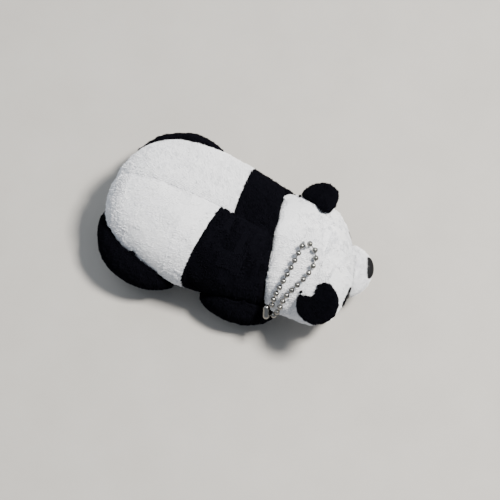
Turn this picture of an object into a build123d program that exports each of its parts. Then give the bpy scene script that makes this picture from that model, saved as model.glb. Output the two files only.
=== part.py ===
"""Plush panda keychain: sewn pile-fabric animal with a ball chain hung on its head.

Frame: millimetres, +Z up. The origin is the centre of the flat belly face that the
panda lies on, +X runs along the spine towards the head, +Y is the panda's left.
"""
import math
import os

from build123d import *

# ---------------------------------------------------------------- driving sizes
fabric = 1.2                 # pile fabric, backing and pile pressed flat
stuffing_clearance = 0.05

torso_rear = 39.5            # origin to the rump
torso_half_width = 30.0
torso_half_height = 24.0
torso_axis_height = 22.0     # the round torso sinks 2 mm into its flat belly
rump_fullness = 1.16         # how high the back's curve is drawn over the rump
back_curve_rear = 8.0        # where that curve's handles stand, behind and ahead of the origin
back_curve_front = 22.0
neck_overrun = 16.0          # the torso's curve runs on under the head
neck_taper = 0.72
belly_seam_height = 8.0
band_seam_left = 17.5        # white to black seam, where it meets the spine
band_seam_right = 11.5
band_seam_slant = 8.0        # degrees, the seam leans back towards the flanks

neck_place = 36.5            # neck seam, where it meets the spine
neck_yaw = 15.0              # degrees, turned towards the panda's left
neck_half_width = 26.0
neck_offset = 1.5            # the neck opening sits towards the panda's left
neck_half_height = 19.6

head_place = (53.5, 1.5)
head_height = 25.0
head_yaw = 25.0
head_half_length = 18.5
head_half_width = 28.0
head_half_height = 20.0
face_seam = 4.0              # ear to ear seam, ahead of the head's centre
chin_seam_height = 13.0

# places on the head are forward, left and up from its centre, each a share of its half size there
muzzle_place = (0.73, -0.036, -0.275)
muzzle_half_sizes = (12.5, 12.0, 9.0)
nose_half_sizes = (2.6, 5.2, 3.4)
nose_sink = 1.8              # how far the nose's centre lies inside the muzzle's tip
nose_rise = 1.9              # above the muzzle's centre
mouth_thread = 0.9
mouth_curve = 2.2

eye_place = (0.778, 0.504, -0.1)
eye_aim = 38.0               # degrees, each eye looks outward
eye_diameter = 4.2
eye_stem_diameter = 1.6
eye_stem_length = 5.0
eye_washer_diameter = 6.5
eye_washer_thickness = 0.8
eye_stem_end = 1.0           # left standing past the washer
eye_patch_half_sizes = (4.2, 5.2)
eye_patch_slant = 25.0
eye_patch_cut_depth = 8.0

ear_radius = 8.7
ear_thickness = 3.2
ear_place = (0.12, 0.83, 0.58)
ear_turn = 4.0               # degrees, both ears are sewn on turned to the left
ear_outward = 38.0           # degrees, from straight ahead
ear_rise = 4.0               # degrees above level
ear_roll = 28.0              # degrees, each ear droops towards its outer side

hind_leg_place = (-14.5, 12.5, 15.5)
hind_leg_half_sizes = (25.0, 24.7, 17.5)
front_leg_place = (28.5, 18.4, 13.0)
front_leg_half_sizes = (20.5, 14.8, 14.5)
front_leg_tuck = (3.5, 1.6)  # how far the left front leg lies further back and further in
leg_gap = 0.8                # between the left and the right legs under the body
sole_seam_height = 6.0

bead_diameter = 2.4
bead_wall = 0.35
bead_hole_diameter = 1.24    # lets a pin swing 18 degrees
pin_diameter = 0.4
pin_clearance = 0.03
pin_ball_clearance = 0.09
pin_end_inset = 0.02         # each pin starts this far into its bead's wall
left_run_beads = 10
right_run_beads = 13
# where the two runs of the chain lie on the head, from the top pin to the clasp
left_run_route = [(50.2, -2.0, 46.9), (50.0, -8.9, 44.9), (49.2, -15.9, 40.9), (48.0, -21.0, 35.8),
                  (47.5, -24.9, 29.0)]
right_run_route = [(52.8, 0.3, 47.0), (57.3, -3.2, 46.6), (57.9, -9.9, 45.3), (55.6, -16.3, 42.3),
                   (52.2, -22.1, 36.3), (51.3, -25.6, 30.8), (49.6, -27.4, 25.1)]
clasp_beads = [(45.6, -26.2, 26.3), (46.6, -28.4, 23.8)]
# the beads on each hinge line, (left run, right run), counted from the top pin
hinge_beads = [(2, 3), (3, 4), (4, 6), (5, 7), (6, 8), (8, 9)]

loop_base = (49.9, 0.95, 45.35)
loop_thread = 0.8
loop_eye_diameter = 1.1
loop_slit_length = 1.2       # the thread's two strands close up below the eye
loop_tail_length = 4.0
loop_tail_gap = 0.1
loop_foot_clearance = 0.1

clasp_wall = 0.3
clasp_clearance = 0.08
clasp_slot = 1.2


# ---------------------------------------------------------------- shared helpers
def ellipsoid(centre, half_sizes, yaw=0.0):
    """A ball stretched to three half sizes, turned about the vertical."""
    with BuildPart() as ball:
        Sphere(radius=1)
        scale(by=half_sizes)
    return Location(centre, (0, 0, yaw)) * ball.part


def shrunk(half_sizes, inset):
    """Half sizes drawn in by one distance all round."""
    return tuple(size - inset for size in half_sizes)


def finish(piece, name):
    """Label one piece and write its file."""
    piece.part.label = name
    export_step(piece.part, f"parts/{name}.step")


def on_head(forward, left, up):
    """A point given from the head's centre, in the model's frame."""
    turn = math.radians(head_yaw)
    x = head_place[0] + forward * math.cos(turn) - left * math.sin(turn)
    y = head_place[1] + forward * math.sin(turn) + left * math.cos(turn)
    return (x, y, head_height + up)


def head_point(share, side=1):
    """A place on the head given as shares of its half sizes, on the left (1) or the right (-1)."""
    return on_head(
        share[0] * head_half_length, side * share[1] * head_half_width, share[2] * head_half_height
    )


os.makedirs("parts", exist_ok=True)

# ---------------------------------------------------------------- seam planes
spine_plane = Plane.XZ
belly_plane = Plane.XY.offset(belly_seam_height)
chin_plane = Plane.XY.offset(chin_seam_height)
sole_plane = Plane.XY.offset(sole_seam_height)
neck_turn = math.radians(neck_yaw)
neck_plane = Plane(
    origin=(neck_place, 0, torso_axis_height),
    x_dir=(-math.sin(neck_turn), math.cos(neck_turn), 0),
    z_dir=(math.cos(neck_turn), math.sin(neck_turn), 0),
)
head_turn = math.radians(head_yaw)
head_forward = (math.cos(head_turn), math.sin(head_turn), 0)
head_left = (-math.sin(head_turn), math.cos(head_turn), 0)
head_cross_plane = Plane(origin=on_head(0, 0, 0), x_dir=head_left, z_dir=head_forward)
face_plane = head_cross_plane.offset(face_seam)


def band_seam_plane(place, side):
    """The upright plane of the white to black seam on one flank."""
    slant = math.radians(band_seam_slant) * side
    return Plane(origin=(place, 0, 0), z_dir=(math.cos(slant), math.sin(slant), 0))


# ---------------------------------------------------------------- main forms
def torso_form(inset):
    """The round torso, from the rump to the neck seam, cut flat under the belly."""
    crown = torso_half_height - inset
    front_end = neck_place + neck_overrun
    with BuildPart() as form:
        with BuildSketch(Plane.XZ):
            with BuildLine():
                back = Bezier(
                    (-torso_rear + inset, torso_axis_height),
                    (-torso_rear + inset, torso_axis_height + rump_fullness * crown),
                    (-back_curve_rear, torso_axis_height + rump_fullness * crown),
                    (back_curve_front, torso_axis_height + crown),
                    (front_end, torso_axis_height + neck_taper * crown),
                )
                Line(back @ 1, (front_end, torso_axis_height))
                Line((front_end, torso_axis_height), back @ 0)
            make_face()
        revolve(axis=Axis((0, 0, torso_axis_height), (1, 0, 0)))
        scale(by=(1, (torso_half_width - inset) / crown, 1))
        split(bisect_by=Plane.XY.offset(inset), keep=Keep.TOP)
        split(bisect_by=neck_plane, keep=Keep.BOTTOM)
    return form.part


def head_form(inset):
    """The wide head: a ball in front of its widest section, tapering back to the neck."""
    sizes = (head_half_length - inset, head_half_width - inset, head_half_height - inset)
    with BuildPart() as form:
        add(ellipsoid(on_head(0, 0, 0), sizes, head_yaw))
        split(bisect_by=head_cross_plane, keep=Keep.TOP)
        with BuildSketch(neck_plane):
            with Locations((neck_offset, 0)):
                Ellipse(neck_half_width - inset, neck_half_height - inset)
        with BuildSketch(head_cross_plane):
            Ellipse(sizes[1], sizes[2])
        loft(ruled=True)
    return form.part


torso_outer = torso_form(0)
torso_clear = torso_form(-stuffing_clearance)
head_outer = head_form(0)
head_clear = head_form(-stuffing_clearance)
torso_shell = torso_outer - torso_form(fabric)
head_shell = head_outer - head_form(fabric)


def split_piece(name, source, *cuts):
    """One panel: what is left of a form after cuts, each a plane and the side kept."""
    with BuildPart() as piece:
        add(source)
        for plane, side in cuts:
            split(bisect_by=plane, keep=side)
    finish(piece, name)
    return piece.part


# ---------------------------------------------------------------- torso covers
for side, name, place in ((1, "left", band_seam_left), (-1, "right", band_seam_right)):
    seam = band_seam_plane(place, side)
    flank = (spine_plane, Keep.BOTTOM if side > 0 else Keep.TOP)
    above = (belly_plane, Keep.TOP)
    split_piece(f"back_panel_{name}", torso_shell, flank, above, (seam, Keep.BOTTOM))
    split_piece(f"shoulder_band_{name}", torso_shell, flank, above, (seam, Keep.TOP))
belly_seam = band_seam_plane((band_seam_left + band_seam_right) / 2, 0)
split_piece("belly_panel", torso_shell, (belly_plane, Keep.BOTTOM), (belly_seam, Keep.BOTTOM))
split_piece("chest_panel", torso_shell, (belly_plane, Keep.BOTTOM), (belly_seam, Keep.TOP))

stuffing_inset = fabric + stuffing_clearance
with BuildPart() as body_stuffing:
    add(torso_form(stuffing_inset))
finish(body_stuffing, "body_stuffing")


# ---------------------------------------------------------------- head covers
behind = (face_plane, Keep.BOTTOM)
over_chin = (chin_plane, Keep.TOP)
head_spine_plane = Plane(
    origin=loop_base, z_dir=(-loop_base[1], loop_base[0] - neck_place, 0)
)
loop_foot = Vector(*loop_base) - Vector(0, 0, loop_thread / 2 + loop_foot_clearance)
with BuildPart() as loop_tails:
    with BuildSketch(Plane(origin=loop_foot, z_dir=(0, 0, -1))):
        with GridLocations(loop_thread + loop_tail_gap, 0, 2, 1):
            Circle(loop_thread / 2)
    extrude(amount=loop_tail_length)
finish(loop_tails, "loop_tails")
sewn_head_shell = head_shell - loop_tails.part
split_piece("head_back_left", sewn_head_shell, over_chin, behind, (head_spine_plane, Keep.TOP))
split_piece("head_back_right", sewn_head_shell, over_chin, behind, (head_spine_plane, Keep.BOTTOM))
split_piece("chin_panel", head_shell, (chin_plane, Keep.BOTTOM))


# ---------------------------------------------------------------- face pieces
def face_axis(side):
    """The line that an eye looks along, for the left (1) or the right (-1)."""
    turn = math.radians(head_yaw + side * eye_aim)
    return Plane(
        origin=head_point(eye_place, side),
        x_dir=(-math.sin(turn), math.cos(turn), 0),
        z_dir=(math.cos(turn), math.sin(turn), 0),
    )


muzzle_centre = head_point(muzzle_place)
muzzle_outer = ellipsoid(muzzle_centre, muzzle_half_sizes, head_yaw)
muzzle_inner = ellipsoid(muzzle_centre, shrunk(muzzle_half_sizes, fabric), head_yaw)
stitched_sizes = tuple(size + mouth_thread / 2 for size in muzzle_half_sizes)
muzzle_stitch_form = ellipsoid(muzzle_centre, stitched_sizes, head_yaw)
with BuildPart() as muzzle_cover:
    add(muzzle_outer)
    add(muzzle_inner, mode=Mode.SUBTRACT)
    add(head_outer, mode=Mode.SUBTRACT)
finish(muzzle_cover, "muzzle_cover")

with BuildPart() as muzzle_stuffing:
    add(ellipsoid(muzzle_centre, shrunk(muzzle_half_sizes, stuffing_inset), head_yaw))
    add(head_clear, mode=Mode.SUBTRACT)
finish(muzzle_stuffing, "muzzle_stuffing")

nose_reach = muzzle_half_sizes[0] - nose_sink
nose_centre = Vector(*muzzle_centre) + Vector(*head_forward) * nose_reach + Vector(0, 0, nose_rise)
with BuildPart() as nose:
    add(ellipsoid(nose_centre, nose_half_sizes, head_yaw))
    add(muzzle_outer, mode=Mode.SUBTRACT)
finish(nose, "nose")

patch_cutters = []
eye_pieces = []
for side, name in ((1, "left"), (-1, "right")):
    plane = face_axis(side)
    with BuildPart() as patch_cutter:
        with BuildSketch(plane.offset(-eye_patch_cut_depth)):
            Ellipse(*eye_patch_half_sizes, rotation=side * eye_patch_slant)
        extrude(amount=2 * eye_patch_cut_depth)
    patch_cutters.append(patch_cutter.part)
    with BuildPart() as eye:
        with BuildSketch(plane):
            Circle(eye_stem_diameter / 2)
        extrude(amount=-eye_stem_length)
        add(Location(plane.origin) * Sphere(eye_diameter / 2, mode=Mode.PRIVATE))
    with BuildPart() as eye_washer:
        with BuildSketch(plane.offset(-eye_stem_length + eye_stem_end)):
            Circle(eye_washer_diameter / 2)
            Circle(eye_stem_diameter / 2, mode=Mode.SUBTRACT)
        extrude(amount=eye_washer_thickness)
    with BuildPart() as eye_patch:
        add(head_shell)
        add(patch_cutter.part, mode=Mode.INTERSECT)
        split(bisect_by=face_plane, keep=Keep.TOP)
        split(bisect_by=chin_plane, keep=Keep.TOP)
        add(eye.part, mode=Mode.SUBTRACT)
    finish(eye, f"eye_{name}")
    finish(eye_washer, f"eye_washer_{name}")
    finish(eye_patch, f"eye_patch_{name}")
    eye_pieces += [eye.part, eye_washer.part]

with BuildPart() as face_panel:
    add(head_shell)
    split(bisect_by=face_plane, keep=Keep.TOP)
    split(bisect_by=chin_plane, keep=Keep.TOP)
    for cutter in patch_cutters:
        add(cutter, mode=Mode.SUBTRACT)
    for piece in eye_pieces:
        add(piece, mode=Mode.SUBTRACT)
finish(face_panel, "face_panel")

with BuildPart() as head_stuffing:
    add(head_form(stuffing_inset))
    for piece in eye_pieces + [loop_tails.part]:
        add(piece, mode=Mode.SUBTRACT)
finish(head_stuffing, "head_stuffing")

mouth_plane = Plane(origin=muzzle_centre, x_dir=head_left, z_dir=head_forward)
with BuildPart() as mouth_stitch:
    for side in (1, -1):
        with BuildSketch(mouth_plane):
            with Locations((side * mouth_curve, -mouth_curve)):
                Circle(mouth_curve + mouth_thread / 2)
                Circle(mouth_curve - mouth_thread / 2, mode=Mode.SUBTRACT)
            with Locations((0, mouth_curve / 2)):
                Rectangle(6 * mouth_curve, 3 * mouth_curve, mode=Mode.SUBTRACT)
        extrude(amount=2 * muzzle_half_sizes[0])
    add(muzzle_stitch_form, mode=Mode.INTERSECT)
    add(muzzle_outer, mode=Mode.SUBTRACT)
finish(mouth_stitch, "mouth_stitch")


# ---------------------------------------------------------------- ears
for side, name in ((1, "left"), (-1, "right")):
    turn = math.radians(head_yaw + ear_turn + side * ear_outward)
    rise = math.radians(ear_rise)
    roll = math.radians(ear_roll)
    out = Vector(math.cos(turn) * math.cos(rise), math.sin(turn) * math.cos(rise), math.sin(rise))
    level = Vector(-math.sin(turn), math.cos(turn), 0)
    across = level * math.cos(roll) - out.cross(level) * (side * math.sin(roll))
    ear_plane = Plane(
        origin=head_point(ear_place, side),
        x_dir=across,
        z_dir=out.cross(across),
    )
    for layer, depth in (("front", -ear_thickness / 2), ("back", ear_thickness / 2)):
        with BuildPart() as ear_layer:
            with BuildSketch(ear_plane):
                Circle(ear_radius)
            extrude(amount=depth)
            add(head_outer, mode=Mode.SUBTRACT)
        finish(ear_layer, f"ear_{layer}_{name}")


# ---------------------------------------------------------------- legs
def leg_form(centre, half_sizes, side, inset, body):
    """One leg drawn in by a distance: a ball, flat below, cut back to the body and to its own side."""
    with BuildPart() as form:
        add(ellipsoid(centre, shrunk(half_sizes, inset)))
        split(bisect_by=Plane.XY.offset(inset), keep=Keep.TOP)
        middle = spine_plane.offset(-side * (leg_gap / 2 + inset))
        split(bisect_by=middle, keep=Keep.BOTTOM if side > 0 else Keep.TOP)
        for piece in body:
            add(piece, mode=Mode.SUBTRACT)
    return form.part


def leg_pieces(name, centre, half_sizes, side):
    """The upper cover, the sole and the stuffing of one leg, sewn against the body."""
    outer = leg_form(centre, half_sizes, side, 0, (torso_outer, head_outer))
    cover = outer - leg_form(centre, half_sizes, side, fabric, (torso_outer, head_outer))
    split_piece(f"{name}_cover", cover, (sole_plane, Keep.TOP))
    split_piece(f"{name}_sole", cover, (sole_plane, Keep.BOTTOM))
    with BuildPart() as stuffing:
        add(leg_form(centre, half_sizes, side, stuffing_inset, (torso_clear, head_clear)))
    finish(stuffing, f"{name}_stuffing")


tucked_place = (
    front_leg_place[0] - front_leg_tuck[0],
    front_leg_place[1] - front_leg_tuck[1],
    front_leg_place[2],
)
for name, place, sizes, side in (
    ("hind_leg_left", hind_leg_place, hind_leg_half_sizes, 1),
    ("hind_leg_right", hind_leg_place, hind_leg_half_sizes, -1),
    ("front_leg_left", tucked_place, front_leg_half_sizes, 1),
    ("front_leg_right", front_leg_place, front_leg_half_sizes, -1),
):
    leg_pieces(name, (place[0], side * place[1], place[2]), sizes, side)


# ---------------------------------------------------------------- ball chain
def run_places(route, count):
    """Bead centres spaced evenly along one run of the chain."""
    with BuildLine() as run:
        line = Spline(*route)
    return [line.position_at(step / (count - 1)) for step in range(count)]


def bead_with_pin(centre, pin_from, pin_to):
    """A hollow bead, open towards the pin that enters it, and its own pin, swaged in."""
    outer_radius = bead_diameter / 2
    ball_radius = outer_radius - bead_wall - pin_ball_clearance
    line = pin_to - centre if pin_to is not None else centre - pin_from
    place = Plane(origin=centre, z_dir=line).location
    solids = []
    with BuildPart() as bead:
        add(place * Sphere(outer_radius, mode=Mode.PRIVATE))
        add(place * Sphere(outer_radius - bead_wall, mode=Mode.PRIVATE), mode=Mode.SUBTRACT)
        if pin_from is not None:
            with BuildSketch(Plane(origin=centre, z_dir=pin_from - centre)):
                Circle(bead_hole_diameter / 2)
            extrude(amount=outer_radius, mode=Mode.SUBTRACT)
        if pin_to is not None:
            with BuildSketch(Plane(origin=centre, z_dir=pin_to - centre)):
                Circle(pin_diameter / 2 + pin_clearance)
            extrude(amount=outer_radius, mode=Mode.SUBTRACT)
    solids.append(bead.part.solid())
    if pin_to is not None:
        start = outer_radius - bead_wall + pin_end_inset
        with BuildPart() as pin:
            with BuildSketch(Plane(origin=centre, z_dir=pin_to - centre).offset(start)):
                Circle(pin_diameter / 2)
            extrude(amount=(pin_to - centre).length - start)
            add(Location(pin_to) * Sphere(ball_radius, mode=Mode.PRIVATE))
        solids.append(pin.part.solid())
    return solids


left_run = run_places(left_run_route, left_run_beads)
right_run = run_places(right_run_route, right_run_beads)
end_bead, start_bead = [Vector(*place) for place in clasp_beads]
# the chain in order, from the clasp up the right run, over the top pin and down the left run
chain = [start_bead] + right_run[::-1] + left_run + [end_bead]
top = right_run_beads           # index of the right run's first bead
rows = [[] for _ in range(len(hinge_beads) + 1)]
for index, centre in enumerate(chain):
    pin_from = chain[index - 1] if index > 0 else None
    pin_to = chain[index + 1] if index < len(chain) - 1 else None
    solids = bead_with_pin(centre, pin_from, pin_to)
    if index <= top:
        count = top - index + 1
        row = sum(1 for left, right in hinge_beads if count > right)
    else:
        count = index - top
        row = sum(1 for left, right in hinge_beads if count >= left)
    rows[row] += solids
for row, solids in enumerate(rows):
    with BuildPart() as chain_row:
        add(solids)
    finish(chain_row, f"chain_row_{row + 1}")


# ---------------------------------------------------------------- clasp
clasp_axis = start_bead - end_bead
clasp_middle = (start_bead + end_bead) * 0.5
clasp_plane = Plane(
    origin=clasp_middle, z_dir=clasp_axis, x_dir=(right_run[-1] + left_run[-1]) * 0.5 - clasp_middle
)
clasp_bore = bead_diameter / 2 + clasp_clearance
clasp_half_length = clasp_axis.length / 2
with BuildPart() as clasp:
    for end in (-1, 1):
        with Locations(clasp_plane.offset(end * clasp_half_length).location):
            Sphere(clasp_bore + clasp_wall)
    with BuildSketch(clasp_plane.offset(-clasp_half_length)):
        Circle(clasp_bore + clasp_wall)
    extrude(amount=2 * clasp_half_length)
    for end in (-1, 1):
        with Locations(clasp_plane.offset(end * clasp_half_length).location):
            Sphere(clasp_bore, mode=Mode.SUBTRACT)
    with BuildSketch(clasp_plane.offset(-clasp_half_length)):
        Circle(clasp_bore)
    extrude(amount=2 * clasp_half_length, mode=Mode.SUBTRACT)
    with BuildSketch(clasp_plane.offset(-clasp_half_length - 2 * bead_diameter)):
        with Locations((bead_diameter, 0)):
            Rectangle(2 * bead_diameter, clasp_slot)
    extrude(amount=2 * clasp_half_length + 4 * bead_diameter, mode=Mode.SUBTRACT)
finish(clasp, "clasp")


# ---------------------------------------------------------------- thread loop
top_pin_middle = (right_run[0] + left_run[0]) * 0.5
top_pin_line = (left_run[0] - right_run[0]).normalized()
base = Vector(*loop_base)
loop_plane = Plane(origin=base, z_dir=top_pin_line, x_dir=top_pin_middle - base)
loop_reach = (top_pin_middle - base).length
with BuildPart() as hanging_loop:
    with BuildSketch(loop_plane):
        Circle(loop_thread / 2)
        with Locations((loop_reach, 0)):
            Circle(loop_eye_diameter / 2 + loop_thread)
        make_hull()
    extrude(amount=loop_thread / 2, both=True)
    with BuildSketch(loop_plane):
        with Locations((loop_reach, 0)):
            Circle(loop_eye_diameter / 2)
        with Locations((loop_reach - loop_slit_length, 0)):
            Circle(loop_eye_diameter / 4)
        make_hull()
    extrude(amount=loop_thread, both=True, mode=Mode.SUBTRACT)
finish(hanging_loop, "hanging_loop")
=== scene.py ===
"""Plush panda keychain: sewn pile covers, stuffed limbs, thread loop and ball chain."""

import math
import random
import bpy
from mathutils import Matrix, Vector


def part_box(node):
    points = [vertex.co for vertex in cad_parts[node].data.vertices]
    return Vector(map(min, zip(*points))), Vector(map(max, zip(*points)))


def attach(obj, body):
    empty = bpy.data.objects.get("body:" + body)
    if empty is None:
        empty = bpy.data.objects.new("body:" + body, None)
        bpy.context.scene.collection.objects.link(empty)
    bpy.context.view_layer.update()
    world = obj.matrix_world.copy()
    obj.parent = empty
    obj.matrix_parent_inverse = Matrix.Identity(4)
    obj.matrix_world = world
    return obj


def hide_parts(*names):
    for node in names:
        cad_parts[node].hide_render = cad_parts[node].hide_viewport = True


bl_info = {
    "name": "Plush Panda Keychain",
    "version": (1, 0, 0),
    "blender": (4, 5, 0),
    "location": "View3D > Sidebar > Plush",
    "description": "Builds the sewn covers, face and chain of a small plush panda keychain",
    "category": "Add Mesh",
}

import bmesh
import bpy
from bpy.props import FloatProperty, FloatVectorProperty, PointerProperty
from mathutils import Matrix, Vector, noise
from mathutils.bvhtree import BVHTree

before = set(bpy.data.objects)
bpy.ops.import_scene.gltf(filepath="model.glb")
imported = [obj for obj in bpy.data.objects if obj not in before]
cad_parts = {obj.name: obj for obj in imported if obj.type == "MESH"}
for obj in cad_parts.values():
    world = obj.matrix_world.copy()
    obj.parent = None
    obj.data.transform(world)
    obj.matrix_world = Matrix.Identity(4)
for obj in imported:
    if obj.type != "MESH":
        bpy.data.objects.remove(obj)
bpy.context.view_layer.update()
MM = 0.001


# ---------------------------------------------------------------- settings
class PlushSettings(bpy.types.PropertyGroup):
    """Sizes of the sewn covers."""

    pile_spacing: FloatProperty(
        name="Pile spacing", description="Distance between tufts of the pile",
        default=0.62 * MM, unit="LENGTH", precision=5,
    )
    pile_length: FloatProperty(
        name="Pile length", description="How far a tuft stands out of its cover",
        default=0.85 * MM, unit="LENGTH", precision=5,
    )
    cover_thickness: FloatProperty(
        name="Cover thickness", description="Backing and pile root of a cover",
        default=0.8 * MM, unit="LENGTH", precision=5,
    )
    groove_depth: FloatProperty(
        name="Seam depth", description="How far a seam pulls its covers in",
        default=0.75 * MM, unit="LENGTH", precision=5,
    )
    groove_width: FloatProperty(
        name="Seam width", description="Half width of the valley along a seam",
        default=2.2 * MM, unit="LENGTH", precision=5,
    )
    pressure: FloatProperty(
        name="Stuffing pressure", description="Cloth pressure that swells the covers",
        default=4.0, min=0.0
    )
    swell: FloatProperty(
        name="Swell", description="Furthest that the stuffing may push a cover out",
        default=1.6 * MM, unit="LENGTH", precision=5,
    )
    belly_seam: FloatProperty(
        name="Belly seam", description="Height of the seam round the belly",
        default=8 * MM, unit="LENGTH"
    )
    band_left: FloatProperty(
        name="Band, left", description="Place of the white to black seam on the left",
        default=17.5 * MM,
        unit="LENGTH",
    )
    band_right: FloatProperty(
        name="Band, right", description="Place of the white to black seam on the right",
        default=11.5 * MM,
        unit="LENGTH",
    )
    band_slant: FloatProperty(
        name="Band slant", description="How far the seam leans back",
        default=math.radians(8), subtype="ANGLE"
    )
    neck: FloatProperty(
        name="Neck", description="Place of the neck seam on the spine",
        default=36.5 * MM, unit="LENGTH"
    )
    head_yaw: FloatProperty(
        name="Head turn", description="Turn of the head", default=math.radians(25), subtype="ANGLE"
    )
    face_seam: FloatProperty(
        name="Face seam", description="Place of the ear to ear seam ahead of the head's centre",
        default=4 * MM, unit="LENGTH",
    )
    chin_seam: FloatProperty(
        name="Chin seam", description="Height of the seam under the head",
        default=13 * MM, unit="LENGTH"
    )
    ear_turn: FloatProperty(
        name="Ear turn", description="Turn of both ears to the left",
        default=math.radians(4), subtype="ANGLE"
    )
    ear_outward: FloatProperty(
        name="Ear aim", description="How far each ear points outward",
        default=math.radians(38), subtype="ANGLE"
    )
    ear_rise: FloatProperty(
        name="Ear rise", description="How far an ear rises to its tip",
        default=math.radians(4), subtype="ANGLE"
    )
    ear_roll: FloatProperty(
        name="Ear droop", description="How far an ear droops outward",
        default=math.radians(28), subtype="ANGLE"
    )
    sole_seam: FloatProperty(
        name="Sole seam", description="Height of the seam round each sole",
        default=6 * MM, unit="LENGTH"
    )


class FinishSettings(bpy.types.PropertyGroup):
    """Colours of the cloth and the metal."""

    white: FloatVectorProperty(
        name="White pile", description="Colour of the white cloth",
        subtype="COLOR", default=(0.90, 0.91, 0.93)
    )
    black: FloatVectorProperty(
        name="Black pile", description="Colour of the black cloth", subtype="COLOR",
        default=(0.004, 0.004, 0.006),
    )
    metal: FloatVectorProperty(
        name="Chain", description="Colour of the plated chain",
        subtype="COLOR", default=(0.27, 0.26, 0.24)
    )


HEAD_CENTRE = Vector((53.5, 1.5, 25.0)) * MM
UP = Vector((0, 0, 1))
LOOP_FOOT = Vector((49.9, 0.95, 45.35)) * MM
EYE_PLACE = Vector((14.4, 14.1, -2.0)) * MM     # forward, left, up from the head's centre
EYE_OUTWARD = math.radians(38)
NOSE_PLACE = Vector((24.2, -1.0, -3.6)) * MM    # forward, left, up from the head's centre
PATCH_HALF_WIDTH = 4.2 * MM
PATCH_HALF_HEIGHT = 5.2 * MM
PATCH_SLANT = math.radians(25)
PATCH_DEPTH = 8 * MM
EAR_PLUMP = 0.45 * MM
EAR_LIFT = 0.9 * MM


def plush():
    """The sizes of the sewn covers."""
    return bpy.context.scene.plush_settings


def finishes():
    """The colours."""
    return bpy.context.scene.finish_settings


def heading(turn):
    """The level direction at an angle from +X."""
    return Vector((math.cos(turn), math.sin(turn), 0))


# ---------------------------------------------------------------- materials
class Nodes:
    """A short way to write one material's node tree."""

    def __init__(self, name):
        self.material = bpy.data.materials.new(name)
        self.material.use_nodes = True
        self.tree = self.material.node_tree
        self.shader = self.tree.nodes["Principled BSDF"]

    def add(self, kind, **values):
        node = self.tree.nodes.new(kind)
        for key, value in values.items():
            setattr(node, key, value)
        return node

    def link(self, source, target):
        self.tree.links.new(source, target)

    def position(self):
        return self.add("ShaderNodeTexCoord").outputs["Object"]

    def noise(self, scale, detail=3.0, roughness=0.6):
        node = self.add("ShaderNodeTexNoise")
        node.inputs["Scale"].default_value = scale
        node.inputs["Detail"].default_value = detail
        node.inputs["Roughness"].default_value = roughness
        self.link(self.position(), node.inputs["Vector"])
        return node.outputs["Fac"]

    def ramp(self, source, stops):
        node = self.add("ShaderNodeValToRGB")
        elements = node.color_ramp.elements
        while len(elements) < len(stops):
            elements.new(0.5)
        for element, (place, colour) in zip(elements, stops):
            element.position = place
            element.color = (*colour, 1)
        self.link(source, node.inputs["Fac"])
        return node.outputs["Color"]

    def multiply(self, first, second, factor=1.0):
        node = self.add("ShaderNodeMix", data_type="RGBA", blend_type="MULTIPLY")
        node.inputs["Factor"].default_value = factor
        self.link(first, node.inputs[6])
        self.link(second, node.inputs[7])
        return node.outputs[2]

    def bump(self, height, strength, distance):
        node = self.add("ShaderNodeBump")
        node.inputs["Strength"].default_value = strength
        node.inputs["Distance"].default_value = distance
        self.link(height, node.inputs["Height"])
        self.link(node.outputs["Normal"], self.shader.inputs["Normal"])

    def set(self, **values):
        for key, value in values.items():
            self.shader.inputs[key.replace("_", " ")].default_value = value


def scatter(rng, reach):
    """A random vector whose parts each lie within a reach."""
    return Vector((rng.uniform(-reach, reach), rng.uniform(-reach, reach), rng.uniform(-reach, reach)))


def shade(colour, factor):
    """A colour made darker or lighter."""
    return tuple(channel * factor for channel in colour)


def pile_material(name, colour, root, sheen, sheen_tint):
    """Short pile: painted shade darkens it at its roots, lighter at its tips, with brushed patches and a
    soft sheen.
    """
    nodes = Nodes(name)
    tip = nodes.add("ShaderNodeAttribute", attribute_name="tip")
    # painted shade: the colour is darkened towards the roots of the tufts, where the tufts shade each
    # other
    painted_root_shade = nodes.ramp(tip.outputs["Fac"], [(0.0, shade(colour, root)), (0.9, colour)])
    patches = nodes.ramp(nodes.noise(150, 4.0), [(0.3, (0.93, 0.93, 0.94)), (0.7, (1, 1, 1))])
    tufts = nodes.ramp(nodes.noise(1500, 2.0), [(0.3, (0.91, 0.91, 0.92)), (0.7, (1, 1, 1))])
    colour_out = nodes.multiply(nodes.multiply(painted_root_shade, patches), tufts)
    nodes.link(colour_out, nodes.shader.inputs["Base Color"])
    nodes.set(Roughness=0.95, Sheen_Weight=sheen, Sheen_Roughness=0.45, Sheen_Tint=(*sheen_tint, 1),
              Specular_IOR_Level=0.0)
    nodes.bump(nodes.noise(2600, 3.0), 0.5, 0.0002)
    return nodes.material


def metal_material(name):
    """Nickel plate with faint wear and finger smears."""
    nodes = Nodes(name)
    wear = nodes.noise(420, 4.0)
    nodes.link(
        nodes.ramp(wear, [(0.3, shade(finishes().metal, 0.8)), (0.7, tuple(finishes().metal))]),
        nodes.shader.inputs["Base Color"],
    )
    rough = nodes.add("ShaderNodeMapRange")
    rough.inputs["To Min"].default_value = 0.12
    rough.inputs["To Max"].default_value = 0.28
    nodes.link(wear, rough.inputs["Value"])
    nodes.link(rough.outputs["Result"], nodes.shader.inputs["Roughness"])
    nodes.set(Metallic=1.0)
    nodes.bump(nodes.noise(1900, 2.0), 0.12, 0.00008)
    return nodes.material


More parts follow.
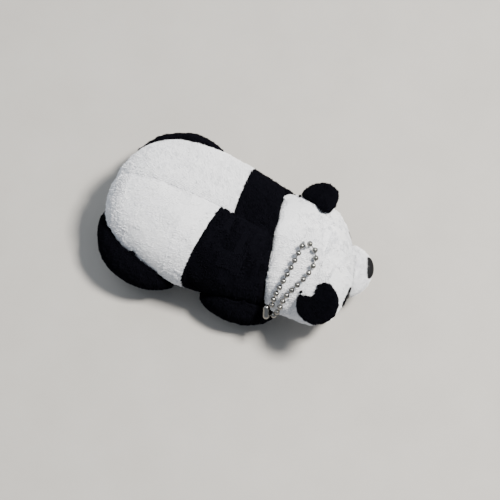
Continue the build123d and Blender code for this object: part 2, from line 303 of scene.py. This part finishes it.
def thread_material(name, colour, sheen=0.3, scale=2400):
    """Twisted thread with a soft lustre."""
    nodes = Nodes(name)
    nodes.link(
        nodes.ramp(nodes.noise(scale, 2.0), [(0.3, shade(colour, 0.72)), (0.7, colour)]),
        nodes.shader.inputs["Base Color"],
    )
    nodes.set(Roughness=0.7, Sheen_Weight=sheen, Sheen_Roughness=0.4, Specular_IOR_Level=0.1)
    nodes.bump(nodes.noise(scale * 1.4, 2.0), 0.5, 0.0001)
    return nodes.material


def plastic_material(name, colour, roughness):
    """Moulded plastic with faint scuffs."""
    nodes = Nodes(name)
    scuffs = nodes.noise(900, 4.0)
    nodes.link(
        nodes.ramp(scuffs, [(0.3, shade(colour, 0.8)), (0.7, colour)]), nodes.shader.inputs["Base Color"]
    )
    nodes.set(Roughness=roughness, Coat_Weight=0.4, Coat_Roughness=0.05)
    nodes.bump(scuffs, 0.05, 0.0001)
    return nodes.material


def fibre_material(name):
    """Loose polyester fibre fill."""
    nodes = Nodes(name)
    nodes.link(
        nodes.ramp(nodes.noise(700, 6.0, 0.8), [(0.3, (0.7, 0.7, 0.7)), (0.7, (0.93, 0.93, 0.93))]),
        nodes.shader.inputs["Base Color"],
    )
    nodes.set(Roughness=1.0, Sheen_Weight=0.4, Sheen_Roughness=0.5)
    nodes.bump(nodes.noise(1200, 6.0, 0.8), 0.8, 0.0004)
    return nodes.material


def material(slot):
    """The finished material of one slot, made once."""
    # the frame's own plain materials keep the bare slot names
    name = f"{slot}_finish"
    if name in bpy.data.materials:
        return bpy.data.materials[name]
    white = tuple(finishes().white)
    black = tuple(finishes().black)
    # the third number is the painted shade at the pile's roots: the share of the colour left there
    if slot == "white_pile":
        return pile_material(name, white, 0.8, 0.35, (0.9, 0.95, 1.0))
    if slot == "black_pile":
        return pile_material(name, black, 0.5, 0.01, (0.5, 0.55, 0.7))
    if slot == "chain_metal":
        return metal_material(name)
    if slot in ("black_thread", "nose_cloth"):
        return thread_material(name, (0.006, 0.006, 0.007), 0.02)
    if slot == "white_thread":
        return thread_material(name, (0.85, 0.85, 0.83))
    if slot == "eye_plastic":
        return plastic_material(name, (0.004, 0.004, 0.005), 0.08)
    if slot == "washer_plastic":
        return plastic_material(name, (0.8, 0.8, 0.78), 0.4)
    if slot == "stuffing":
        return fibre_material(name)
    raise ValueError(f"no material is made for the slot {slot}")


# ---------------------------------------------------------------- mesh helpers
def make_object(name, mesh, finish=None):
    """A new object at the origin, linked to the scene."""
    piece = bpy.data.objects.new(name, mesh)
    bpy.context.collection.objects.link(piece)
    if finish:
        piece.data.materials.clear()
        piece.data.materials.append(material(finish))
    return piece


def to_mesh(shape, name):
    """A bmesh written to a new mesh."""
    mesh = bpy.data.meshes.new(name)
    shape.to_mesh(mesh)
    shape.free()
    return mesh


def applied(piece):
    """The piece's mesh with its modifiers applied."""
    graph = bpy.context.evaluated_depsgraph_get()
    mesh = bpy.data.meshes.new_from_object(piece.evaluated_get(graph))
    old = piece.data
    piece.modifiers.clear()
    piece.data = mesh
    bpy.data.meshes.remove(old)


def joined_copy(name, nodes):
    """Copies of CAD solids as one merged mesh."""
    shape = bmesh.new()
    for node in nodes:
        shape.from_mesh(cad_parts[node].data)
    bmesh.ops.remove_doubles(shape, verts=shape.verts[:], dist=0.01 * MM)
    return make_object(name, to_mesh(shape, name))


def remeshed(piece, size):
    """The piece's outer skin as even small quads."""
    modifier = piece.modifiers.new("skin", "REMESH")
    modifier.mode = "VOXEL"
    modifier.voxel_size = size
    modifier.adaptivity = 0
    applied(piece)


def smoothed(piece, rounds, factor=0.5):
    """Evens out the steps that a remesh leaves."""
    shape = bmesh.new()
    shape.from_mesh(piece.data)
    for _ in range(rounds):
        bmesh.ops.smooth_vert(
            shape, verts=shape.verts[:], factor=factor, use_axis_x=True, use_axis_y=True, use_axis_z=True
        )
    shape.to_mesh(piece.data)
    shape.free()


def stuff(piece, seams, cap):
    """Cloth simulation: the cover swells between its sewn lines, each point by no more than cap."""
    rest = [vertex.co.copy() for vertex in piece.data.vertices]
    group = piece.vertex_groups.new(name="sewn")
    for vertex in piece.data.vertices:
        sewn = 0.0
        for co, normal in seams:
            if abs((vertex.co - co).dot(normal)) < 1.8 * MM:
                sewn = 1.0
        if vertex.co.z < 1.0 * MM:
            sewn = 1.0
        group.add([vertex.index], sewn, "REPLACE")
    cloth = piece.modifiers.new("stuffing", "CLOTH")
    cloth.settings.effector_weights.gravity = 0
    cloth.settings.use_pressure = True
    cloth.settings.uniform_pressure_force = plush().pressure
    cloth.settings.vertex_group_mass = "sewn"
    cloth.settings.quality = 6
    cloth.settings.tension_stiffness = 8
    cloth.settings.compression_stiffness = 8
    cloth.point_cache.frame_start = 1
    cloth.point_cache.frame_end = 20
    for number in range(1, 21):
        bpy.context.scene.frame_set(number)
    applied(piece)
    bpy.context.scene.frame_set(1)
    for vertex, start in zip(piece.data.vertices, rest):
        move = vertex.co - start
        if move.length > cap:
            vertex.co = start + move * (cap / move.length)
        vertex.co.z = max(vertex.co.z, 0.15 * MM)
    piece.vertex_groups.clear()


def skin_of(piece):
    """A search tree of the piece's surface."""
    shape = bmesh.new()
    shape.from_mesh(piece.data)
    tree = BVHTree.FromBMesh(shape)
    shape.free()
    return tree


def laid_on(piece, skin, share):
    """Moves each point a share of the way back to a surface."""
    for vertex in piece.data.vertices:
        place = skin.find_nearest(vertex.co)[0]
        vertex.co = vertex.co.lerp(place, share)


def soft_body(name, nodes, seams, cap, coarse=2.6 * MM, rounds=2):
    """A stuffed form that fills the place of CAD solids, ready to be cut into covers."""
    piece = joined_copy(name, nodes)
    skin = skin_of(piece)
    remeshed(piece, coarse)
    smoothed(piece, 3)
    laid_on(piece, skin, 0.85)
    stuff(piece, seams, cap)
    smoothed(piece, 2)
    fine = piece.modifiers.new("round", "SUBSURF")
    fine.levels = rounds
    fine.render_levels = rounds
    applied(piece)
    return piece


def settle(piece, seams, lumps, seed):
    """Pulls the seams in and gives the stuffing its soft uneven lumps."""
    depth = plush().groove_depth
    width = plush().groove_width
    shape = bmesh.new()
    shape.from_mesh(piece.data)
    shape.normal_update()
    moves = []
    for vertex in shape.verts:
        pull = 0.0
        for co, normal in seams:
            distance = (vertex.co - co).dot(normal) / width
            pull = max(pull, math.exp(-distance * distance))
        lump = noise.noise(vertex.co / (11 * MM) + Vector((seed, 0, 0))) * lumps
        lump += noise.noise(vertex.co / (4.5 * MM) + Vector((0, seed, 0))) * lumps * 0.35
        on_floor = min(1.0, vertex.co.z / (3 * MM))
        moves.append(vertex.normal * (lump - pull * depth) * max(0.0, on_floor))
    rng = random.Random(seed)
    stray = plush().pile_spacing * 0.35
    for vertex, move in zip(shape.verts, moves):
        shift = scatter(rng, stray)
        vertex.co += move + shift - vertex.normal * shift.dot(vertex.normal)
        vertex.co.z = max(vertex.co.z, 0.12 * MM)
    shape.to_mesh(piece.data)
    shape.free()


def cut_cover(source, cuts, seed, inside=None):
    """The part of a form on one side of each plane, as an open sheet with a ragged edge."""
    shape = bmesh.new()
    shape.from_mesh(source.data)
    for co, normal in cuts:
        bmesh.ops.bisect_plane(
            shape, geom=shape.verts[:] + shape.edges[:] + shape.faces[:], dist=0.02 * MM,
            plane_co=co, plane_no=normal, clear_inner=True,
        )
    if inside:
        outside = [face for face in shape.faces if not inside(face.calc_center_median())]
        bmesh.ops.delete(shape, geom=outside, context="FACES")
    # two edges of the sheet meet at a pinched point, which has no clean wall
    pinched = [
        vertex for vertex in shape.verts if sum(edge.is_boundary for edge in vertex.link_edges) > 2
    ]
    bmesh.ops.delete(shape, geom=pinched, context="VERTS")
    rng = random.Random(seed)
    fray = plush().pile_spacing * 0.3
    for vertex in shape.verts:
        if vertex.is_boundary:
            vertex.co += scatter(rng, fray)
    return shape


def close_cover(shape, thickness):
    """Gives an open sheet its inner side and its edge all round. Returns the outer faces."""
    shape.normal_update()
    inner = shape.faces[:]
    low = shape.verts[:]
    normals = [vertex.normal.copy() for vertex in low]
    raised = bmesh.ops.extrude_face_region(shape, geom=inner, use_keep_orig=True)
    outer = [item for item in raised["geom"] if isinstance(item, bmesh.types.BMFace)]
    for vertex, normal in zip(low, normals):
        vertex.co -= normal * thickness
    return outer


def grow_pile(shape, faces, length, flow, seed):
    """Raises a leaning tuft out of every outer face and marks the tips, from which the cloth's colour
    paints shade at the roots.
    """
    rng = random.Random(seed)
    tip = shape.verts.layers.float.new("tip")
    shape.normal_update()
    normals = [face.normal.copy() for face in faces]
    result = bmesh.ops.poke(shape, faces=faces, offset=0, center_mode="MEAN")
    for vertex, normal in zip(result["verts"], normals):
        along = flow - normal * flow.dot(normal)
        jitter = scatter(rng, 1) * 0.3
        clump = 0.75 + 0.5 * noise.noise(vertex.co / (2.2 * MM))
        reach = length * clump * rng.uniform(0.7, 1.15)
        vertex.co += (normal + along * 0.75 + jitter) * reach
        vertex.co.z = max(vertex.co.z, 0.05 * MM)
        # tips get 1, roots 0: the material paints shade at the roots from this mark
        vertex[tip] = 1.0


def cover(name, source, cuts, nodes, finish, flow, seed, inside=None):
    """One sewn cover: cut from its form, given thickness and pile, and put in the place of CAD nodes."""
    shape = cut_cover(source, cuts, seed, inside)
    outer = close_cover(shape, plush().cover_thickness)
    grow_pile(shape, outer, plush().pile_length, flow, seed)
    piece = make_object(name, to_mesh(shape, name), finish)
    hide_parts(*nodes)
    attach(piece, "plush")
    return piece


def discard(piece):
    """Removes a working form."""
    mesh = piece.data
    bpy.data.objects.remove(piece)
    bpy.data.meshes.remove(mesh)


def discard_curve(piece):
    """Removes a working curve."""
    curve = piece.data
    bpy.data.objects.remove(piece)
    bpy.data.curves.remove(curve)


# ---------------------------------------------------------------- seams
def spine_seam():
    return (Vector((0, 0, 0)), Vector((0, 1, 0)))


def belly_seam():
    return (Vector((0, 0, plush().belly_seam)), UP.copy())


def band_seam(side):
    """The white to black seam of one flank."""
    place = plush().band_left if side > 0 else plush().band_right
    return (Vector((place, 0, 0)), heading(plush().band_slant * side))


def belly_band_seam():
    return (Vector(((plush().band_left + plush().band_right) / 2, 0, 0)), Vector((1, 0, 0)))


def face_seam():
    forward = heading(plush().head_yaw)
    return (HEAD_CENTRE + forward * plush().face_seam, forward)


def chin_seam():
    return (Vector((0, 0, plush().chin_seam)), UP.copy())


def head_spine_seam():
    """From the neck seam on the spine to the foot of the thread loop."""
    line = Vector((LOOP_FOOT.x - plush().neck, LOOP_FOOT.y, 0))
    return (Vector((plush().neck, 0, 0)), Vector((-line.y, line.x, 0)).normalized())


def on_head(forward, left, up):
    """A point given from the head's centre."""
    ahead = heading(plush().head_yaw)
    return HEAD_CENTRE + ahead * forward + Vector((-ahead.y, ahead.x, 0)) * left + UP * up


def eye_line(side):
    """Where one eye sits, and the line that it looks along."""
    place = on_head(EYE_PLACE.x, side * EYE_PLACE.y, EYE_PLACE.z)
    return place, heading(plush().head_yaw + side * EYE_OUTWARD)


def in_patch(side):
    """A test for points in the slanted oval of one eye patch."""
    place, line = eye_line(side)
    across = Vector((-line.y, line.x, 0))
    slant = PATCH_SLANT * side

    def test(point):
        from_eye = point - place
        level = from_eye.dot(across)
        along = level * math.cos(slant) + from_eye.z * math.sin(slant)
        up = from_eye.z * math.cos(slant) - level * math.sin(slant)
        oval = (along / PATCH_HALF_WIDTH) ** 2 + (up / PATCH_HALF_HEIGHT) ** 2
        return from_eye.dot(line) > -PATCH_DEPTH and oval < 1

    return test


def away(seam):
    """The same seam, keeping its other side."""
    return (seam[0], -seam[1])


# ---------------------------------------------------------------- operators
class PLUSH_OT_stage(bpy.types.Operator):
    """Add the floor, the lights and the camera"""

    bl_idname = "plush.stage"
    bl_label = "Stage"

    def execute(self, context):
        shape = bmesh.new()
        bmesh.ops.create_grid(shape, x_segments=1, y_segments=1, size=3.0)
        floor = make_object("floor", to_mesh(shape, "floor"))
        paper = Nodes("paper_floor")
        paper.link(
            paper.ramp(paper.noise(30, 4.0), [(0.3, (0.38, 0.365, 0.34)), (0.7, (0.41, 0.395, 0.37))]),
            paper.shader.inputs["Base Color"],
        )
        paper.set(Roughness=0.8, Specular_IOR_Level=0.2)
        floor.data.materials.append(paper.material)

        world = bpy.data.worlds.new("studio")
        world.use_nodes = True
        world.node_tree.nodes["Background"].inputs["Color"].default_value = (0.80, 0.88, 1.0, 1)
        world.node_tree.nodes["Background"].inputs["Strength"].default_value = 0.45
        context.scene.world = world

        target = Vector((26.5, -2.9, 20)) * MM
        for name, place, size, power, tint in (
            ("key_light", (0.34, 0.14, 0.74), 0.14, 18.5, (1.0, 0.96, 0.90)),
            ("fill_light", (-0.6, 0.1, 0.6), 0.8, 3.0, (0.90, 0.95, 1.0)),
        ):
            light = bpy.data.lights.new(name, "AREA")
            light.size = size
            light.energy = power
            light.color = tint
            lamp = bpy.data.objects.new(name, light)
            context.collection.objects.link(lamp)
            lamp.location = Vector(place)
            lamp.rotation_euler = (target - lamp.location).to_track_quat("-Z", "Y").to_euler()

        turn = math.radians(26)
        tilt = math.radians(67)
        level = Vector((math.sin(turn), -math.cos(turn), 0))
        back = level * math.cos(tilt) + UP * math.sin(tilt)
        lens = bpy.data.cameras.new("camera")
        lens.sensor_width = 36
        distance = 1.0
        view_width = 0.215
        lens.lens = lens.sensor_width * distance / view_width
        lens.clip_start = 0.01
        camera = bpy.data.objects.new("camera", lens)
        context.collection.objects.link(camera)
        camera.location = target + back * distance
        camera.rotation_euler = back.to_track_quat("Z", "Y").to_euler()
        context.scene.camera = camera
        return {"FINISHED"}


class PLUSH_OT_torso(bpy.types.Operator):
    """Sew the torso's white and black covers"""

    bl_idname = "plush.torso"
    bl_label = "Torso covers"

    def execute(self, context):
        seams = [spine_seam(), belly_seam()]
        form = soft_body(
            "torso_form",
            ["back_panel_left", "back_panel_right", "shoulder_band_left", "shoulder_band_right",
             "belly_panel", "chest_panel", "body_stuffing"],
            seams + [belly_band_seam()], plush().swell,
        )
        settle(form, seams, 0.45 * MM, 3.0)
        back = Vector((-1, 0, -0.2))
        for side, name in ((1, "left"), (-1, "right")):
            flank = spine_seam() if side > 0 else away(spine_seam())
            above = belly_seam()
            cover(f"back_cover_{name}", form, [flank, above, away(band_seam(side))],
                  [f"back_panel_{name}"], "white_pile", back, 10 + side)
            cover(f"shoulder_cover_{name}", form, [flank, above, band_seam(side)],
                  [f"shoulder_band_{name}"], "black_pile", back, 20 + side)
        cover("belly_cover", form, [away(belly_seam()), away(belly_band_seam())],
              ["belly_panel"], "white_pile", back, 30)
        cover("chest_cover", form, [away(belly_seam()), belly_band_seam()],
              ["chest_panel"], "black_pile", back, 31)
        discard(form)
        return {"FINISHED"}


class PLUSH_OT_head(bpy.types.Operator):
    """Sew the head's covers and the muzzle"""

    bl_idname = "plush.head"
    bl_label = "Head covers"

    def execute(self, context):
        seams = [head_spine_seam(), face_seam(), chin_seam()]
        form = soft_body(
            "head_form",
            ["head_back_left", "head_back_right", "face_panel", "chin_panel", "head_stuffing",
             "eye_patch_left", "eye_patch_right"],
            seams, plush().swell,
        )
        settle(form, [face_seam(), chin_seam()], 0.35 * MM, 7.0)
        back = -heading(plush().head_yaw) + Vector((0, 0, -0.2))
        over = chin_seam()
        cover("head_back_cover_left", form, [over, away(face_seam()), head_spine_seam()],
              ["head_back_left"], "white_pile", back, 41)
        cover("head_back_cover_right", form, [over, away(face_seam()), away(head_spine_seam())],
              ["head_back_right"], "white_pile", back, 42)
        patches = [in_patch(1), in_patch(-1)]
        cover("face_cover", form, [over, face_seam()], ["face_panel"], "white_pile", back, 43,
              inside=lambda point: not any(patch(point) for patch in patches))
        for patch, name in zip(patches, ("left", "right")):
            cover(f"eye_patch_cover_{name}", form, [over, face_seam()],
                  [f"eye_patch_{name}"], "black_pile", back, 46, inside=patch)
        cover("chin_cover", form, [away(chin_seam())], ["chin_panel"], "white_pile", back, 44)
        discard(form)
        muzzle = soft_body("muzzle_form", ["muzzle_cover", "muzzle_stuffing"], [], 0.4 * MM, 1.3 * MM, 1)
        cover("muzzle_skin", muzzle, [], ["muzzle_cover", "muzzle_stuffing"], "white_pile", back, 45)
        discard(muzzle)
        return {"FINISHED"}


def placed(shape, line, place):
    """Turns a shape made along +Z to a line and moves it to its place."""
    turn = line.to_track_quat("Z", "Y").to_matrix().to_4x4()
    bmesh.ops.transform(shape, matrix=Matrix.Translation(place) @ turn, verts=shape.verts[:])


class PLUSH_OT_face(bpy.types.Operator):
    """Add the nose, the eyes and the stitched mouth"""

    bl_idname = "plush.face"
    bl_label = "Face"

    def execute(self, context):
        forward = heading(plush().head_yaw)
        shape = bmesh.new()
        bmesh.ops.create_uvsphere(shape, u_segments=96, v_segments=48, radius=1.0)
        bmesh.ops.scale(shape, vec=Vector((5.0, 3.5, 2.6)) * MM, verts=shape.verts[:])
        for vertex in shape.verts:
            vertex.co.x *= 1.0 + 0.18 * vertex.co.y / (3.5 * MM)
            vertex.co.z += 0.07 * MM * math.sin(vertex.co.x / (0.16 * MM))
        bmesh.ops.transform(
            shape, verts=shape.verts[:],
            matrix=Matrix.Translation(on_head(*NOSE_PLACE))
            @ Matrix((Vector((-forward.y, forward.x, 0)), UP, forward)).transposed().to_4x4(),
        )
        nose = make_object("nose_satin", to_mesh(shape, "nose_satin"), "nose_cloth")
        nose.data.shade_smooth()
        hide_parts("nose")
        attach(nose, "plush")

        for side, name in ((1, "left"), (-1, "right")):
            place, line = eye_line(side)
            shape = bmesh.new()
            bmesh.ops.create_uvsphere(shape, u_segments=48, v_segments=24, radius=2.1 * MM)
            bmesh.ops.create_cone(
                shape, cap_ends=True, segments=32, radius1=0.8 * MM, radius2=0.8 * MM, depth=5 * MM,
                matrix=Matrix.Translation((0, 0, -2.5 * MM)),
            )
            placed(shape, line, place)
            eye = make_object(f"eye_bead_{name}", to_mesh(shape, f"eye_bead_{name}"), "eye_plastic")
            eye.data.shade_smooth()
            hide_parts(f"eye_{name}")
            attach(eye, "plush")
            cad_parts[f"eye_washer_{name}"].data.materials.clear()
            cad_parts[f"eye_washer_{name}"].data.materials.append(material("washer_plastic"))
        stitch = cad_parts["mouth_stitch"]
        stitch.data.materials.clear()
        stitch.data.materials.append(material("black_thread"))
        return {"FINISHED"}


class PLUSH_OT_legs(bpy.types.Operator):
    """Sew the four legs"""

    bl_idname = "plush.legs"
    bl_label = "Legs"

    def execute(self, context):
        sole = (Vector((0, 0, plush().sole_seam)), UP.copy())
        down = Vector((-0.3, 0, -1))
        for number, leg in enumerate(("hind_leg", "front_leg")):
            for side in ("left", "right"):
                name = f"{leg}_{side}"
                form = soft_body(f"{name}_form", [f"{name}_cover", f"{name}_sole", f"{name}_stuffing"],
                                 [sole], 0.9 * MM, 2.2 * MM)
                settle(form, [sole], 0.35 * MM, 11.0 + number)
                seed = 50 + 4 * number + (2 if side == "left" else 0)
                cover(f"{name}_skin", form, [sole], [f"{name}_cover"], "black_pile", down, seed)
                cover(f"{name}_pad", form, [away(sole)], [f"{name}_sole"], "black_pile", down, seed + 1)
                discard(form)
        return {"FINISHED"}


def plumped(piece, outward, upward):
    """Grows a form along its normals and lifts it, so that its root stands clear of a swollen cover."""
    shape = bmesh.new()
    shape.from_mesh(piece.data)
    shape.normal_update()
    for vertex in shape.verts:
        vertex.co += vertex.normal * outward
    bmesh.ops.translate(shape, verts=shape.verts[:], vec=UP * upward)
    shape.to_mesh(piece.data)
    shape.free()


class PLUSH_OT_ears(bpy.types.Operator):
    """Sew the two ears, each from a front and a back layer"""

    bl_idname = "plush.ears"
    bl_label = "Ears"

    def execute(self, context):
        for side, name in ((1, "left"), (-1, "right")):
            form = soft_body(f"ear_{name}_form", [f"ear_front_{name}", f"ear_back_{name}"], [],
                             0.4 * MM, 1.1 * MM, 1)
            smoothed(form, 4)
            plumped(form, EAR_PLUMP, EAR_LIFT)
            low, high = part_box(f"ear_front_{name}")
            low_back, high_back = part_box(f"ear_back_{name}")
            middle = (low + high + low_back + high_back) / 4 + UP * EAR_LIFT
            toward = heading(plush().head_yaw + plush().ear_turn + side * plush().ear_outward)
            out = toward * math.cos(plush().ear_rise) + UP * math.sin(plush().ear_rise)
            level = Vector((-toward.y, toward.x, 0))
            across = level * math.cos(plush().ear_roll)
            across -= out.cross(level) * (side * math.sin(plush().ear_roll))
            split = (middle, out.cross(across).normalized())
            cover(f"ear_back_skin_{name}", form, [split],
                  [f"ear_back_{name}"], "black_pile", out, 70 + side)
            cover(f"ear_front_skin_{name}", form, [away(split)],
                  [f"ear_front_{name}"], "black_pile", out, 72 + side)
            discard(form)
        return {"FINISHED"}


class PLUSH_OT_chain(bpy.types.Operator):
    """Finish the thread loop, the ball chain and its clasp"""

    bl_idname = "plush.chain"
    bl_label = "Chain"

    def execute(self, context):
        for name in ["clasp"] + [f"chain_row_{row}" for row in range(1, 8)]:
            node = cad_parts[name]
            node.data.materials.clear()
            node.data.materials.append(material("chain_metal"))
        base = LOOP_FOOT
        eye = (Vector((50.2, -2.0, 46.9)) + Vector((52.8, 0.3, 47.0))) * MM / 2
        line = (eye - base).normalized()
        pin = Vector((-2.6, -2.3, -0.1)).normalized()
        side = pin.cross(line).normalized()
        radius = 0.95 * MM
        reach = (eye - base).length
        path = [base, base + line * reach * 0.45 + side * radius * 0.8]
        for step in range(7):
            turn = math.pi * (0.5 - step / 6)
            path.append(eye + line * radius * math.cos(turn) + side * radius * math.sin(turn))
        path.append(base + line * reach * 0.45 - side * radius * 0.8)
        path.append(base)
        curve = bpy.data.curves.new("thread_loop", "CURVE")
        curve.dimensions = "3D"
        spline = curve.splines.new("NURBS")
        spline.points.add(len(path) - 1)
        for point, place in zip(spline.points, path):
            point.co = (*place, 1)
        spline.order_u = 3
        spline.use_endpoint_u = True
        curve.bevel_depth = 0.38 * MM
        curve.bevel_resolution = 4
        curve.use_fill_caps = True
        strand = make_object("thread_loop", curve)
        shape = bmesh.new()
        shape.from_mesh(strand.to_mesh())
        bmesh.ops.remove_doubles(shape, verts=shape.verts[:], dist=0.01 * MM)
        discard_curve(strand)
        loop = make_object("thread_loop", to_mesh(shape, "thread_loop"), "white_thread")
        loop.data.shade_smooth()
        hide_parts("hanging_loop")
        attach(loop, "loop")
        return {"FINISHED"}


class PLUSH_OT_filling(bpy.types.Operator):
    """Add the fibre fill inside the covers"""

    bl_idname = "plush.filling"
    bl_label = "Fibre fill"

    def execute(self, context):
        names = ["body_stuffing", "head_stuffing"]
        for leg in ("hind_leg", "front_leg"):
            names += [f"{leg}_{side}_stuffing" for side in ("left", "right")]
        for seed, name in enumerate(names):
            piece = joined_copy(f"{name}_fibre", [name])
            remeshed(piece, 2.0 * MM)
            smoothed(piece, 6)
            shape = bmesh.new()
            shape.from_mesh(piece.data)
            shape.normal_update()
            for vertex in shape.verts:
                lump = noise.noise(vertex.co / (3 * MM) + Vector((seed, 0, 0)))
                vertex.co += vertex.normal * (0.7 * lump - 2.0) * MM
            shape.to_mesh(piece.data)
            shape.free()
            piece.data.materials.clear()
            piece.data.materials.append(material("stuffing"))
            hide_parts(name)
            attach(piece, "plush")
        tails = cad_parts["loop_tails"]
        tails.data.materials.clear()
        tails.data.materials.append(material("white_thread"))
        return {"FINISHED"}


OPERATORS = (PLUSH_OT_stage, PLUSH_OT_chain, PLUSH_OT_torso, PLUSH_OT_head, PLUSH_OT_face, PLUSH_OT_legs,
             PLUSH_OT_ears, PLUSH_OT_filling)


class PLUSH_PT_panel(bpy.types.Panel):
    """Lists the plush's pieces in the sidebar"""

    bl_label = "Plush panda"
    bl_idname = "PLUSH_PT_panel"
    bl_space_type = "VIEW_3D"
    bl_region_type = "UI"
    bl_category = "Plush"

    def draw(self, context):
        for operator in OPERATORS:
            self.layout.operator(operator.bl_idname)
        for settings in (context.scene.plush_settings, context.scene.finish_settings):
            box = self.layout.box()
            for name in settings.__annotations__:
                box.prop(settings, name)


CLASSES = (PlushSettings, FinishSettings) + OPERATORS + (PLUSH_PT_panel,)


def register():
    for item in CLASSES:
        bpy.utils.register_class(item)
    bpy.types.Scene.plush_settings = PointerProperty(type=PlushSettings)
    bpy.types.Scene.finish_settings = PointerProperty(type=FinishSettings)


def unregister():
    del bpy.types.Scene.plush_settings
    del bpy.types.Scene.finish_settings
    for item in reversed(CLASSES):
        bpy.utils.unregister_class(item)


def main():
    """Builds the whole plush."""
    register()
    for name in ("stage", "chain", "torso", "head", "face", "legs", "ears", "filling"):
        getattr(bpy.ops.plush, name)()


if __name__ == "__main__":
    main()
